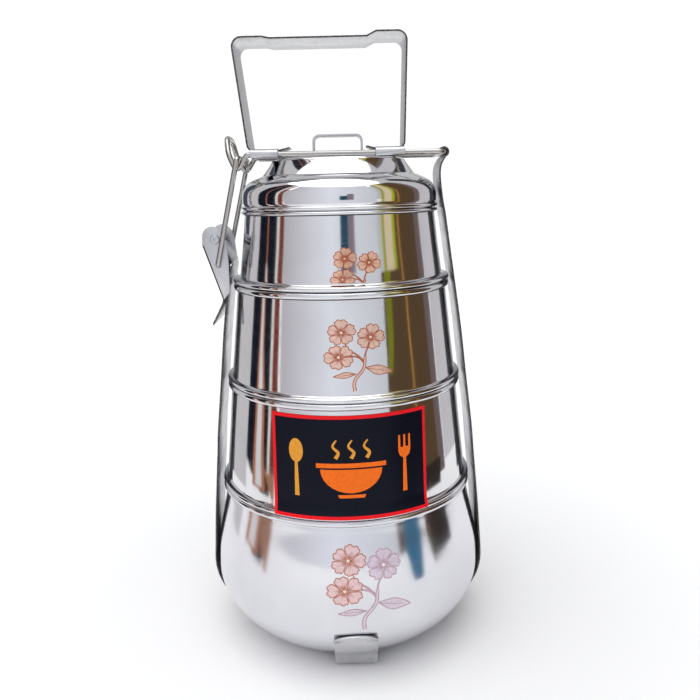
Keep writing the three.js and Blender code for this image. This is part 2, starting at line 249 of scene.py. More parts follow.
def container(name, below, above, wall_foot):
    seat = below["height"] + SEAT_GAP
    spigot = below["rim"] - RIM_OVERHANG - SHEET - 0.6
    floor = seat - SPIGOT
    wall_top = above["rim"] - RIM_OVERHANG
    rib = below["rim"]
    return spun(name, [
        (2, floor), (spigot - 5, floor),
        *bend(spigot - 4.4, floor + 4.4, 4.4, -90, 0, 8),
        (spigot, seat - 0.2), (spigot + 0.3, seat), (rib - 1.3, seat),
        *bend(rib - 1.3, seat + 1.3, 1.3, -80, 62, 10),
        *bend(wall_foot + 1.0, seat + 3.7, 1.0, 265, 182, 6),
        (wall_foot, seat + 5.2),
        (wall_foot + (wall_top - wall_foot) * 0.5, (seat + above["height"] + 1) / 2),
        (wall_top + 0.02, above["height"] - above["bead"] - 0.3),
        *mouth_bead(**above),
        (wall_top - SHEET, above["height"] - above["bead"]),
        (wall_foot - SHEET, seat + 5.0),
        *bend(wall_foot - SHEET + 1.2, seat + 3.6, 1.2, 180, 262, 4),
        *bend(rib - 1.5, seat + 1.6, 0.7, 70, -70, 5),
        (spigot - SHEET + 0.4, seat + 0.8),
        *bend(spigot - 4.6, floor + 4.4, 3.8, 0, -90, 8, tall=3.6),
        (2, floor + SHEET),
    ])


MOUTH_3 = {"height": 145.0, "rim": 63.3, "bead": 3.2}
MOUTH_2 = {"height": 196.8, "rim": 57.4, "bead": 3.2}
MOUTH_1 = {"height": 233.9, "rim": 51.5, "bead": 1.9}
for number, below, above, wall_foot in (
        (3, BASE_MOUTH, MOUTH_3, 66.4), (2, MOUTH_3, MOUTH_2, 60.5), (1, MOUTH_2, MOUTH_1, 53.5)):
    tier = paint(container(f"container_{number}_sheet", below, above, wall_foot), polished)
    crease = above["height"] - above["bead"]
    shadow_seam(tier, crease - 0.25, crease + 0.35, above["rim"] - RIM_OVERHANG - 0.3)
    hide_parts(f"container_{number}")
    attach(tier, f"container_{number}")

# ---- Lid --------------------------------------------------------------------------------
# A cover spun from sheet: a short skirt with a bead at its foot, a rounded shoulder, a
# flat ring, then a cone up to the flat top. A spigot inside reaches into container 1.
lid_seat = MOUTH_1["height"] + SEAT_GAP
lid_spigot = MOUTH_1["rim"] - RIM_OVERHANG - SHEET - 0.6
lid_outside = flowing([(50.75, 237.2), (50.75, 240.4), (50.2, 243.6), (48.5, 246.4), (45.6, 248.6),
                       (42.6, 250.0), (40.8, 250.7)], 5)
lid = spun("lid_sheet", [
    (2, 258.3), (31, 258.3), (32.6, 258.0), (34.2, 256.4), (39.4, 250.4),
    *bend(39.4, 249.2, 1.2, 80, 60, 2),
    *reversed(inward(lid_outside[:-6], SHEET)),
    (lid_spigot - SHEET, lid_seat + 1.2), (lid_spigot - SHEET, lid_seat - SPIGOT + 1.2),
    (lid_spigot - 0.4, lid_seat - SPIGOT + 1.0), (lid_spigot, lid_seat - SPIGOT + 1.4),
    (lid_spigot, lid_seat), (50.3, lid_seat),
    *bend(50.4, lid_seat + 1.05, 1.05, -80, 80, 8),
    (50.45, lid_seat + 2.3),
    *lid_outside,
    *bend(40.5, 252.0, 1.2, 262, 222, 4),
    (34.8, 257.3),
    *bend(32.6, 256.9, 2.2, 28, 88, 6),
    (31, 259.08), (2, 259.08),
], corner=50)
paint(lid, polished)
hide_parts("lid")
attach(lid, "lid")

# ---- Handle of the lid ------------------------------------------------------------------
# A strip bent into a low arch. Its feet turn inwards and are spot-welded on the lid's top.
LID_TOP = 259.1


def strip(name, line, thickness, low, high, turned_quarter=False, edge=0.16):
    """A strip of sheet bent along a line of (across, up) points, from low to high in width."""
    deselect()
    bpy.ops.mesh.primitive_plane_add(size=1)
    piece = bpy.context.object
    piece.name = piece.data.name = name
    (x0, z0), (x1, z1) = line[:2]
    for corner, (x, y, z) in zip(piece.data.vertices, (
            (x0, low, z0), (x1, low, z1), (x0, high, z0), (x1, high, z1))):
        corner.co = (x * MM, y * MM, z * MM)
    for corner in piece.data.vertices:
        corner.select = hypot(corner.co.x - x1 * MM, corner.co.z - z1 * MM) < 1e-7
    for side in piece.data.edges:
        side.select = all(piece.data.vertices[end].select for end in side.vertices)
    for face in piece.data.polygons:
        face.select = False
    bpy.ops.object.mode_set(mode="EDIT")
    bpy.ops.mesh.select_mode(type="EDGE")
    for (ax, az), (bx, bz) in zip(line[1:], line[2:]):
        bpy.ops.mesh.extrude_region_move(
            TRANSFORM_OT_translate={"value": ((bx - ax) * MM, 0, (bz - az) * MM)})
    bpy.ops.object.mode_set(mode="OBJECT")
    sheet = piece.modifiers.new("thickness", "SOLIDIFY")
    sheet.thickness, sheet.offset, sheet.use_even_offset = thickness * MM, 0, True
    bpy.ops.object.modifier_apply(modifier=sheet.name)
    soften(piece, edge)
    if turned_quarter:
        piece.data.transform(Matrix.Rotation(pi / 2, 4, "Z"))
    return piece


def soften(piece, width, angle=40):
    """Rubs down the sheared edges."""
    worn = piece.modifiers.new("edges", "BEVEL")
    worn.width, worn.segments, worn.limit_method = width * MM, 2, "ANGLE"
    worn.angle_limit = radians(angle)
    bpy.ops.object.modifier_apply(modifier=worn.name)
    bpy.ops.object.mode_set(mode="EDIT")
    bpy.ops.mesh.select_all(action="SELECT")
    bpy.ops.mesh.normals_make_consistent(inside=False)
    bpy.ops.object.mode_set(mode="OBJECT")
    bpy.ops.object.shade_smooth_by_angle(angle=radians(30))
    return piece


def strip_steel(name, tint, rough, grain=(900, 40, 40)):
    """Rolled strip: a fine grain along it, small rubs, and a dull grey skin."""
    finish = Finish(name)
    along = finish.node("ShaderNodeMapping", {"Vector": finish.place, "Scale": grain}).outputs[0]
    lines = finish.noise(along, 1, 3, 0.6)
    rubs = finish.noise(finish.place, 140, 4, 0.6)
    patches = finish.noise(finish.place, 30, 2)
    finish.feed("Base Color", finish.mix(
        finish.between(finish.math("ADD", rubs, patches), 0, 1, 0.75, 1.25),
        tint, [0.9 * c for c in tint]))
    finish.feed("Metallic", 1.0)
    finish.feed("Roughness", finish.math(
        "ADD", finish.between(rubs, rough - 0.03, rough + 0.07, 0.3, 0.7),
        finish.between(lines, -0.04, 0.05, 0.3, 0.7)))
    finish.feed("Normal", finish.relief(lines, 0.000006, finish.relief(patches, 0.00012)))
    return finish.material


def paint_strip(piece, across="y", start=0.75):
    """Satin faces, and the dark rough edges that the shears leave."""
    piece.data.materials.clear()
    piece.data.materials.append(satin)
    piece.data.materials.append(sheared)
    for face in piece.data.polygons:
        face.material_index = int(abs(getattr(face.normal, across)) > start)
    return piece


satin = strip_steel("strip_steel", (0.6, 0.6, 0.62), 0.31)
edge_finish = Finish("sheared_edge")
edge_grain = edge_finish.noise(edge_finish.place, 900, 3)
edge_finish.feed("Base Color", edge_finish.mix(
    edge_finish.between(edge_grain, 0, 1, 0.4, 0.65), (0.035, 0.032, 0.035), (0.16, 0.14, 0.13)))
edge_finish.feed("Metallic", 0.75)
edge_finish.feed("Roughness", 0.45)
edge_finish.feed("Normal", edge_finish.relief(edge_grain, 0.00008))
sheared = edge_finish.material
lid_foot = LID_TOP + SEAT_GAP + 0.5
arch = [(7.4, lid_foot), *bend(11.2, lid_foot + 1.2, 1.2, -90, 0, 5),
        *bend(9.4, 267.9, 3.0, 0, 90, 8)]
lid_handle = strip("lid_handle_strip", arch + [(-x, z) for x, z in reversed(arch)], 1, -5.5, 5.5)
paint(lid_handle, satin)
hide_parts("lid_handle")
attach(lid_handle, "lid")

# ---- Straps under the base --------------------------------------------------------------
# Two strips of sheet cross under the base. The one from front to back steps over the
# other, and its ends turn up the belly as clips, dished to it and cut to a low arch.
STRAP_HALF = 13.5
UNDER_THICKNESS = 0.99
CLIP_MIDDLE, CLIP_HALF = 3.5, 11
under_strap = strip("under_strap_strip", [(-54.5, 0.5), (-20, 0.5), (20, 0.5), (54.5, 0.5)],
                    UNDER_THICKNESS, -STRAP_HALF, STRAP_HALF)
cross_side = [(15.5, 1.8), (19, 0.5), (52.4, 0.5), *bend(51.6, 4.1, 3.6, -78, -36, 4),
              *flowing([(56.4, 2.9), (61, 10.9), (66.8, 17), (71.3, 23.5), (74.1, 30.3)], 4)]
cross_strap = strip(
    "cross_strap_strip", [(-x, z) for x, z in reversed(cross_side)] + cross_side,
    UNDER_THICKNESS, -CLIP_MIDDLE - CLIP_HALF, CLIP_HALF - CLIP_MIDDLE, turned_quarter=True)
deselect()
cross_strap.select_set(True)
bpy.context.view_layer.objects.active = cross_strap
bpy.ops.object.mode_set(mode="EDIT")
for across in (-4, -0.5, CLIP_MIDDLE, 7.5, 11):      # lines along it, so that its ends can curve
    bpy.ops.mesh.select_all(action="SELECT")
    bpy.ops.mesh.bisect(plane_co=(across * MM, 0, 0), plane_no=(1, 0, 0))
bpy.ops.object.mode_set(mode="OBJECT")
CLIP_TOP, ARCH, BELLY_ROUND = 28, 2.0, 73
for corner in cross_strap.data.vertices:
    across = corner.co.x / MM
    if corner.co.z > CLIP_TOP * MM:
        corner.co.z -= ARCH * ((across - CLIP_MIDDLE) / CLIP_HALF) ** 2 * MM
    lies_on = min(max(corner.co.z / MM - 3, 0) / 8, 1)
    dish = (BELLY_ROUND - (BELLY_ROUND ** 2 - across ** 2) ** 0.5) * lies_on * MM
    corner.co.y -= dish if corner.co.y > 0 else -dish
for piece, node, across in ((under_strap, "under_strap", "y"), (cross_strap, "cross_strap", "x")):
    paint_strip(piece, across)
    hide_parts(node)
    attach(piece, "frame")

# ---- Uprights ---------------------------------------------------------------------------
# Two straps of sprung strip. They follow the belly, lean in past the rims, and end in a
# curl: the right one round the bail, the left one round the rivet of the lever.
CURL = 2.2
STRIP = 0.9
TONGUE_HALF, SHOULDER = 11.5, 206.5
upright_low = [(46.5, 1.8), (54.2, 1.8)] + flowing([
    (54.9, 1.85), (56.8, 2.8), (58.4, 4.9), (61.2, 10.6), (66.7, 16.9), (71.2, 23.5), (74.1, 30.7),
    (75.3, 39), (74.6, 51), (73.3, 69), (71.6, 88), (70.2, 103), (68.9, 118), (65.6, 145),
    (62.6, 171), (58.9, 197)], 4)
right_line = upright_low + flowing([
    (58.9, 197), (56.4, 214), (54.1, 229.8), (52.6, 238), (51.6, 246), (51.3, 251), (51.9, 255),
    (53.6, 258.3)], 4)[1:] + bend(53.3, 261, CURL, -66, 210, 22)
left_line = [(-x, z) for x, z in upright_low + flowing([
    (58.9, 197), (57.6, 203.4), (57.1, 207.2), (57.5, 209.4), (59.6, 214), (61.9, 217.4)], 4)[1:]
    + bend(64.0, 220.3, CURL, -112, 170, 22)]


def narrow_tongue(upright):
    """Above its shoulders the strap is filed in to a tongue that fits inside the lever."""
    for corner in upright.data.vertices:
        if corner.co.z > SHOULDER * MM and abs(corner.co.y) > TONGUE_HALF * MM:
            corner.co.y += (-1 if corner.co.y > 0 else 1) * (STRAP_HALF - TONGUE_HALF) * MM


for side, line in (("right", right_line), ("left", left_line)):
    upright = strip(f"{side}_upright", line, STRIP, -STRAP_HALF, STRAP_HALF)
    if side == "left":
        narrow_tongue(upright)
    paint_strip(upright)
    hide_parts(f"{side}_strap")
    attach(upright, f"{side}_upright")

# ---- Rivets of the frame ----------------------------------------------------------------
# Short flat-headed rivets: two where the straps cross, and two in the foot of each upright.
rivet_spots = [("centre_rivet_1", -2.5, 0, "frame"), ("centre_rivet_2", 9.5, 0, "frame")]
for side, x in (("left", -51), ("right", 51)):
    rivet_spots += [(f"{side}_strap_rivet_1", x, -7, f"{side}_upright"),
                    (f"{side}_strap_rivet_2", x, 7, f"{side}_upright")]
for name, x, y, body in rivet_spots:
    rivet = spun(f"{name}_head", [(0.2, 0.1), (1.2, 0.1), (1.4, 0.3), (1.4, 2.55), (2.5, 2.6),
                                  (2.6, 2.9), (2.3, 3.25), (1.4, 3.38), (0.2, 3.4)], 24)
    rivet.data.transform(Matrix.Translation((x * MM, y * MM, 0)))
    paint(rivet, satin)
    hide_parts(name)
    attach(rivet, body)

# ---- Bail and link ----------------------------------------------------------------------
# Both are bent from one round wire. The bail is a closed loop, butted inside the right
# upright's curl, with a valley and an upturned hook at its left end. The link is a U that
# hangs in the valley, and its feet turn in through the lever's side plates.
WIRE = 2.7


def bent_wire(name, corners, body, node, round_steps=7):
    """A wire along straight runs; a corner is (x, y, z, cut), and its bend begins at the cut."""
    spots = [Vector(corner[:3]) for corner in corners]
    line = [spots[0]]
    for i in range(1, len(spots) - 1):
        cut = corners[i][3]
        into = (spots[i] - spots[i - 1]).normalized()
        out = (spots[i + 1] - spots[i]).normalized()
        start, end = spots[i] - into * cut, spots[i] + out * cut
        for step in range(round_steps + 1):
            t = step / round_steps
            line.append(start * (1 - t) ** 2 + spots[i] * 2 * t * (1 - t) + end * t ** 2)
    line.append(spots[-1])
    deselect()
    bpy.ops.curve.primitive_nurbs_path_add()
    piece = bpy.context.object
    piece.name = name
    piece.data.splines.clear()
    run = piece.data.splines.new("POLY")
    run.points.add(len(line) - 1)
    for point, spot in zip(run.points, line):
        point.co = (*(spot * MM), 1)
    piece.data.dimensions = "3D"
    piece.data.bevel_depth = WIRE / 2 * MM
    piece.data.bevel_resolution = 5
    piece.data.use_fill_caps = True
    bpy.ops.object.convert(target="MESH")
    piece = bpy.context.object
    piece.data.name = name
    bpy.ops.object.shade_smooth_by_angle(angle=radians(50))
    paint(piece, wire_steel)
    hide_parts(node)
    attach(piece, body)
    return piece


wire_steel = strip_steel("wire_steel", (0.5, 0.48, 0.46), 0.2, (60, 60, 60))
bail_side = [(53.3, 0.3, 261), (53.3, 16.2, 261, 4), (-45.2, 16.2, 261.5, 1.8),
             (-50.6, 16.2, 253.1, 4.2), (-54.6, 14.2, 262, 3), (-55.9, 8.6, 270.4, 5)]
link_side = [(-62.9, 12.4, 206.9), (-62.9, 17.8, 206.9, 2), (-49.7, 19.4, 260.1, 3)]
for name, near_side in (("bail", bail_side), ("link", link_side)):
    far_side = [(x, -y, *cut) for x, y, *cut in reversed(near_side)]
    bent_wire(f"{name}_wire", near_side + far_side, name, name)

# ---- Lever ------------------------------------------------------------------------------
# A channel folded from sheet: two side plates and an outer web, whose tail turns out as
# a lip for the finger. It turns on a hollow rivet, and the link's feet go through it.
LEVER_HALF = 14.8
plate_outline = [(-70.8, 217.3), (-61.2, 189), (-58, 193), (-57.7, 209), (-58.6, 219.5),
                 (-60, 223.6), *bend(-65.2, 221.4, 5.4, 30, 165, 9)]


def plate(name, outline, low, high, edge=0.16):
    """A flat plate cut to an outline of (across, up) points."""
    deselect()
    bpy.ops.mesh.primitive_circle_add(vertices=len(outline), radius=1, fill_type="NGON")
    piece = bpy.context.object
    piece.name = piece.data.name = name
    for corner, (x, z) in zip(piece.data.vertices, outline):
        corner.co = (x * MM, low * MM, z * MM)
    bpy.ops.object.mode_set(mode="EDIT")
    bpy.ops.mesh.select_all(action="SELECT")
    bpy.ops.mesh.extrude_region_move(TRANSFORM_OT_translate={"value": (0, (high - low) * MM, 0)})
    bpy.ops.object.mode_set(mode="OBJECT")
    return soften(piece, edge)


lever_web = strip("lever_web", [(-70.3, 217.4), (-61.6, 190), (-61.6, 188.2), (-62.3, 186.2),
                                (-67.8, 175.9)], STRIP, -LEVER_HALF, LEVER_HALF)
paint_strip(lever_web)
side_plates = [paint(plate(name, plate_outline, low, low + STRIP), satin) for name, low in (
    ("lever_front_plate", -LEVER_HALF), ("lever_back_plate", LEVER_HALF - STRIP))]
for part in (lever_web, *side_plates):
    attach(part, "lever")
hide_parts("lever")

pivot_rivet = spun("lever_rivet_tube", [
    (0.75, -15.1), (0.8, -16.0), (1.6, -16.0), (2.1, -15.9), (2.4, -15.5), (2.4, -15.1),
    (1.45, -15.1), (1.45, 15.1), (2.4, 15.1), (2.4, 15.5), (2.1, 15.9), (1.6, 16.0), (0.8, 16.0),
    (0.75, 15.1)], 24)
pivot_rivet.data.transform(Matrix.Translation((-64.0 * MM, 0, 220.3 * MM))
                           @ Matrix.Rotation(pi / 2, 4, "X"))
paint(pivot_rivet, satin)
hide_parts("lever_rivet")
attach(pivot_rivet, "lever")

# ---- Carrying handle --------------------------------------------------------------------
# A strip bent into a tall bow. Its feet turn inwards onto two plates, and each plate is
# rolled round both wires of the bail as a sleeve.
BAIL_HEIGHT, BAIL_HALF, WIRE_GAP = 261.5, 16.2, 0.3
left_top, right_top = 317.1 - STRIP / 2, 318.5 - STRIP / 2
grip, turn = 316.3 - STRIP / 2, 4.5
sleeve = WIRE / 2 + WIRE_GAP + STRIP / 2
plate_height = BAIL_HEIGHT + sleeve
bow = [(-38, plate_height), *bend(-42.2, plate_height + 3, 3, 270, 186, 5),
       *bend(-50.1 + turn, left_top - turn, turn, 183, 90, 7), (-35.5, left_top), (-32, grip),
       (15.5, grip), (20, right_top), *bend(34.9 - turn, right_top - turn, turn, 90, -1, 7),
       *bend(30.6, plate_height + 3, 3, -2, -90, 5), (25, plate_height)]
handle = strip("handle_bow", bow, STRIP, -STRAP_HALF, STRAP_HALF)
sleeve_line = [*bend(BAIL_HALF, BAIL_HEIGHT, sleeve, -50, 90, 10),
               *bend(-BAIL_HALF, BAIL_HEIGHT, sleeve, 90, 230, 10)]
handle_parts = [handle]
for name, low, high in (("handle_foot_left", -43.4, -29.6), ("handle_foot_right", 18.9, 33.4)):
    handle_parts.append(strip(name, sleeve_line, STRIP, -high, -low, turned_quarter=True))
for name, root, tip in (("handle_tongue_left", -30.4, -24.5), ("handle_tongue_right", 19.6, 14.6)):
    under = plate_height - STRIP / 2
    outline = [(root, under), (tip, under + 1.7), (tip, under + 2.3), (root, under + 1)]
    handle_parts.append(plate(name, outline, -7, 7, 0.1))
for part in handle_parts:
    paint_strip(part, "x" if "foot" in part.name else "y")
    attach(part, "bail")
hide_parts("handle")

# ---- Label ------------------------------------------------------------------------------
# A glossy printed sticker round the front of container 3, black with a red border and a
# plain meal sign: a steaming bowl between a spoon and a fork. It laps over the foot's bead.
LABEL = {"bottom": 89.7, "top": 139.4, "from": -34.3, "to": 39.3, "border": 1.7}
LABEL_THICKNESS, TOP_RADIUS = 0.24, 62.2
INK_THICKNESS = 0.03
label_wall = [(89.7, 69.55), (90.6, 69.55), (91.8, 68.9), (93, 67.9), (94.5, 67.1), (96, 66.75),
              (139.4, 62.15)]


def level(points, height):
    """The radius that a list of (height, radius) points gives at a height."""
    if height <= points[0][0]:
        return points[0][1]
    for (z0, r0), (z1, r1) in zip(points, points[1:]):
        if height <= z1:
            return r0 + (r1 - r0) * (height - z0) / (z1 - z0)
    return points[-1][1]


def wrap(piece, wall, centre, reference=None):
    """Lays a flat print, drawn across and up in millimetres, round a wall. Without a
    reference radius it keeps its width all the way down, as a sticker does."""
    for corner in piece.data.vertices:
        across, height, layer = (value / MM for value in corner.co)
        radius = level(wall, height) + layer
        turned = radians(centre) + across / (reference or radius)
        corner.co = (radius * sin(turned) * MM, -radius * cos(turned) * MM, height * MM)
    return piece


def slice_flat(piece, step, rows=False):
    """Cuts a flat print into narrow columns, so that it can follow a round wall."""
    deselect()
    piece.select_set(True)
    bpy.context.view_layer.objects.active = piece
    bpy.ops.object.mode_set(mode="EDIT")
    for axis in ((0, 1) if rows else (0,)):
        spots = [corner.co[axis] / MM for corner in piece.data.vertices]
        cut = min(spots) + step
        while cut < max(spots):
            bpy.ops.mesh.select_all(action="SELECT")
            centre = [cut * MM if k == axis else 0 for k in range(3)]
            bpy.ops.mesh.bisect(plane_co=centre, plane_no=[float(k == axis) for k in range(3)])
            cut += step
    bpy.ops.object.mode_set(mode="OBJECT")
    return piece


def thicken(piece, thickness):
    """Gives a print its thickness, inwards."""
    deselect()
    piece.select_set(True)
    bpy.context.view_layer.objects.active = piece
    sheet = piece.modifiers.new("thickness", "SOLIDIFY")
    sheet.thickness, sheet.offset = thickness * MM, -1
    bpy.ops.object.modifier_apply(modifier=sheet.name)
    bpy.ops.object.shade_smooth_by_angle(angle=radians(30))
    return piece


def flat_shape(outline, layer, ink, line_width=0, line_ink=None):
    """One printed shape, with a darker line round it where line_width says so."""
    deselect()
    bpy.ops.mesh.primitive_circle_add(vertices=len(outline), radius=1, fill_type="NGON")
    shape = bpy.context.object
    for corner, (across, up) in zip(shape.data.vertices, outline):
        corner.co = (across * MM, up * MM, layer * MM)
    if line_width:
        bpy.ops.object.mode_set(mode="EDIT")
        bpy.ops.mesh.select_all(action="SELECT")
        bpy.ops.mesh.inset(thickness=line_width * MM, depth=0)
        bpy.ops.object.mode_set(mode="OBJECT")
    bpy.ops.object.mode_set(mode="EDIT")
    bpy.ops.mesh.select_all(action="SELECT")
    bpy.ops.mesh.normals_make_consistent(inside=False)
    bpy.ops.object.mode_set(mode="OBJECT")
    if sum(face.normal.z for face in shape.data.polygons) < 0:
        shape.data.flip_normals()
    shape.data.materials.append(ink)
    if line_width:
        shape.data.materials.append(line_ink)
        for face in shape.data.polygons:
            face.material_index = int(len(face.vertices) == 4)
    return shape


def stroke(spots, widths, layer, ink):
    """A printed line through a few points, with its width at its start and end."""
    line = [Vector(spot) for spot in flowing(spots, 5)]
    left, right = [], []
    for i, spot in enumerate(line):
        along = (line[min(i + 1, len(line) - 1)] - line[max(i - 1, 0)]).normalized()
        half = (widths[0] + (widths[1] - widths[0]) * i / (len(line) - 1)) / 2
        left.append((spot.x - along.y * half, spot.y + along.x * half))
        right.append((spot.x + along.y * half, spot.y - along.x * half))
    return flat_shape(right + left[::-1], layer, ink)


def join(shapes, name):
    """Makes one piece of many printed shapes."""
    deselect()
    for shape in shapes:
        shape.select_set(True)
    bpy.context.view_layer.objects.active = shapes[0]
    bpy.ops.object.join()
    whole = bpy.context.object
    whole.name = whole.data.name = name
    return whole


def ring_of(points, smooth=3):
    """A smooth closed outline through a few points."""
    closed = points[-2:] + points + points[:2]
    return flowing(closed, smooth)[2 * smooth:-(2 * smooth + 1)]


def print_ink(name, colour, rough, metal=0.0, shine=0.5):
    """Ink on steel or on the sticker, slightly mottled."""
    finish = Finish(name)
    grain = finish.noise(finish.place, 700, 3)
    finish.feed("Base Color", finish.mix(
        finish.between(grain, 0, 1, 0.35, 0.65), colour, [0.88 * c for c in colour]))
    finish.feed("Metallic", metal)
    finish.feed("Specular IOR Level", shine)
    finish.feed("Roughness", finish.between(grain, rough - 0.05, rough + 0.08, 0.3, 0.7))
    finish.feed("Normal", finish.relief(finish.noise(finish.place, 120, 2), 0.00005))
    return finish.material


label_width = radians(LABEL["to"] - LABEL["from"]) * TOP_RADIUS
deselect()
bpy.ops.mesh.primitive_plane_add(size=1)
label = bpy.context.object
label.name = label.data.name = "label_sticker"
middle = (LABEL["top"] + LABEL["bottom"]) / 2
for corner in label.data.vertices:
    corner.co = (corner.co.x * label_width * MM,
                 (middle + corner.co.y * (LABEL["top"] - LABEL["bottom"])) * MM, 0)
bpy.ops.object.mode_set(mode="EDIT")
bpy.ops.mesh.inset(thickness=LABEL["border"] * MM, depth=0)
bpy.ops.object.mode_set(mode="OBJECT")
for colour in (print_ink("label_black", (0.004, 0.005, 0.013), 0.3, shine=0.1),
               print_ink("label_red", (0.9, 0.008, 0.016), 0.35, shine=0.1)):
    label.data.materials.append(colour)
for face in label.data.polygons:
    inside = abs(face.center.x) < 0.4 * label_width * MM and abs(face.center.y / MM - middle) < 20
    face.material_index = 0 if inside else 1
slice_flat(label, 1.5)
slice_flat(label, 1.1, rows=True)
label_centre = (LABEL["from"] + LABEL["to"]) / 2 + 0.3
wrap(label, label_wall, label_centre)
thicken(label, LABEL_THICKNESS)
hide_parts("label")
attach(label, "container_3")

SIGN_MIDDLE, SIGN_LAYER = 113.5, 0.04
orange = print_ink("sign_orange", (0.95, 0.17, 0.012), 0.35, shine=0.1)
yellow = print_ink("sign_yellow", (0.8, 0.34, 0.04), 0.35, shine=0.1)


def round_spots(across, up, width, height, count, start=0.0, share=1.0):
    """Points round an oval, or round a share of it."""
    turns = [start + 2 * pi * share * k / count for k in range(count + (share < 1))]
    return [(across + width * cos(turn), up + height * sin(turn)) for turn in turns]


BOWL = [round_spots(0, 0, 15, 11.5, 14, pi, 0.5),
        [(-17, 0.8), (17, 0.8), (17, 3), (-17, 3)],
        [(-6, -13.9), (6, -13.9), (6.8, -12.3), (-6.8, -12.3)]]
FORK_HEAD = [(23.6, 6.6), (24.4, 4.2), (26.2, 3.0), (27.8, 3.0), (29.6, 4.2), (30.4, 6.6),
             (30.4, 8.2), (23.6, 8.2)]
sign = [flat_shape(outline, SIGN_LAYER, orange) for outline in BOWL]
for x in (-7.5, 0, 7.5):
    steam = [(x, 5.4), (x + 1.4, 8.2), (x - 1.2, 11.2), (x + 0.6, 14.2)]
    sign.append(stroke(steam, (1.9, 0.7), SIGN_LAYER, yellow))
sign.append(flat_shape(round_spots(-27, 8.6, 3.7, 5.8, 24), SIGN_LAYER, yellow))
sign.append(stroke([(-27, 3.2), (-27, -4), (-27, -13.5)], (1.5, 2.4), SIGN_LAYER, yellow))
sign.append(stroke([(27, 3.6), (27, -4), (27, -13.5)], (1.5, 2.4), SIGN_LAYER, orange))
sign.append(flat_shape(FORK_HEAD, SIGN_LAYER, orange))
for x in (24.2, 27, 29.8):
    prong = [(x - 0.62, 8.0), (x + 0.62, 8.0), (x + 0.5, 14.2), (x - 0.5, 14.2)]
    sign.append(flat_shape(prong, SIGN_LAYER, orange))
meal_sign = slice_flat(join(sign, "label_sign"), 1.8)
for corner in meal_sign.data.vertices:
    corner.co.y += SIGN_MIDDLE * MM
wrap(meal_sign, label_wall, label_centre)
thicken(meal_sign, INK_THICKNESS)
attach(meal_sign, "container_3")

# ---- Flower sprays ----------------------------------------------------------------------
# Three sprays etched and tinted on the steel, one each on the base container and the two
# upper ones: three five-petalled blossoms, their stalks, and two leaves.
PETAL = [(0.04, 0), (0.3, -0.2), (0.6, -0.42), (0.8, -0.46), (0.9, -0.33), (1.0, -0.27),
         (1.0, -0.08), (0.93, 0.02), (1.02, 0.14), (0.98, 0.3), (0.86, 0.36), (0.82, 0.46),
         (0.6, 0.43), (0.3, 0.2)]
PETAL_REACH = (1.04, 0.94, 1.0, 0.97, 1.02)
VEINS = ((-15, 0.56), (0, 0.7), (14, 0.52))
LEAF = [(0, 0), (0.2, 0.55), (0.45, 0.95), (0.72, 0.7), (1, 0), (0.75, -0.6), (0.5, -1),
        (0.22, -0.7)]
STALK = [(1.3, 0.8), (0.4, -4.6), (-3.4, -9.2), (-4.3, -12.2), (-3.9, -15.2)]
STEMS = [[(-8.6, 8.4), (-6.6, 4.6), (-2.6, 1.9), (0.6, -1.2)],
         [(-7.6, 1.2), (-4.0, 1.2), (-1.2, 0.2), (0.7, -2.0)],
         [(3.2, 5.6), (1.7, 2.8), (1.2, 0.2), (0.8, -2.4)]]
BLOSSOM_SPOTS = ((-9.8, 12.4), (-11.3, 1.0), (4.3, 9.9))
BLOSSOM_SIZE, SQUAT, OUTLINE = 7.0, 0.84, 0.42


def turned_to(spot, size, turn):
    along, across = spot
    turn = radians(turn)
    return (size * (along * cos(turn) - across * sin(turn)),
            size * (along * sin(turn) + across * cos(turn)))


def blossom(centre, turn, inks):
    """Five petals with their veins, and a pale eye."""
    def squatted(spots):
        return [(centre[0] + x, centre[1] + y * SQUAT) for x, y in spots]

    shapes = []
    for petal, reach in enumerate(PETAL_REACH):
        way = turn + 72 * petal
        outline = squatted(turned_to(spot, BLOSSOM_SIZE * reach, way) for spot in ring_of(PETAL))
        shapes.append(flat_shape(outline, 0.05 + 0.004 * petal, inks[0], OUTLINE, inks[1]))
        for aside, length in VEINS:
            vein = squatted(turned_to(spot, BLOSSOM_SIZE, way + aside)
                            for spot in ((0.08, -0.05), (length, 0), (0.08, 0.05)))
            shapes.append(flat_shape(vein, 0.08, inks[1]))
    eye = 0.1 * BLOSSOM_SIZE
    shapes.append(flat_shape(round_spots(*centre, eye, eye * SQUAT, 12), 0.09, inks[2]))
    return shapes


def leaf(root, tip, belly, inks):
    """A pointed leaf with its midrib."""
    (ax, ay), (bx, by) = root, tip
    along = Vector((bx - ax, by - ay))
    side = Vector((-along.y, along.x)).normalized() * belly
    outline = [(ax + along.x * t + side.x * w, ay + along.y * t + side.y * w)
               for t, w in ring_of(LEAF)]
    vein = [(ax + along.x * t, ay + along.y * t) for t in (0.05, 0.4, 0.8)]
    return [flat_shape(outline, 0.05, inks[0], 0.4, inks[1]),
            stroke(vein, (0.4, 0.15), 0.08, inks[1])]


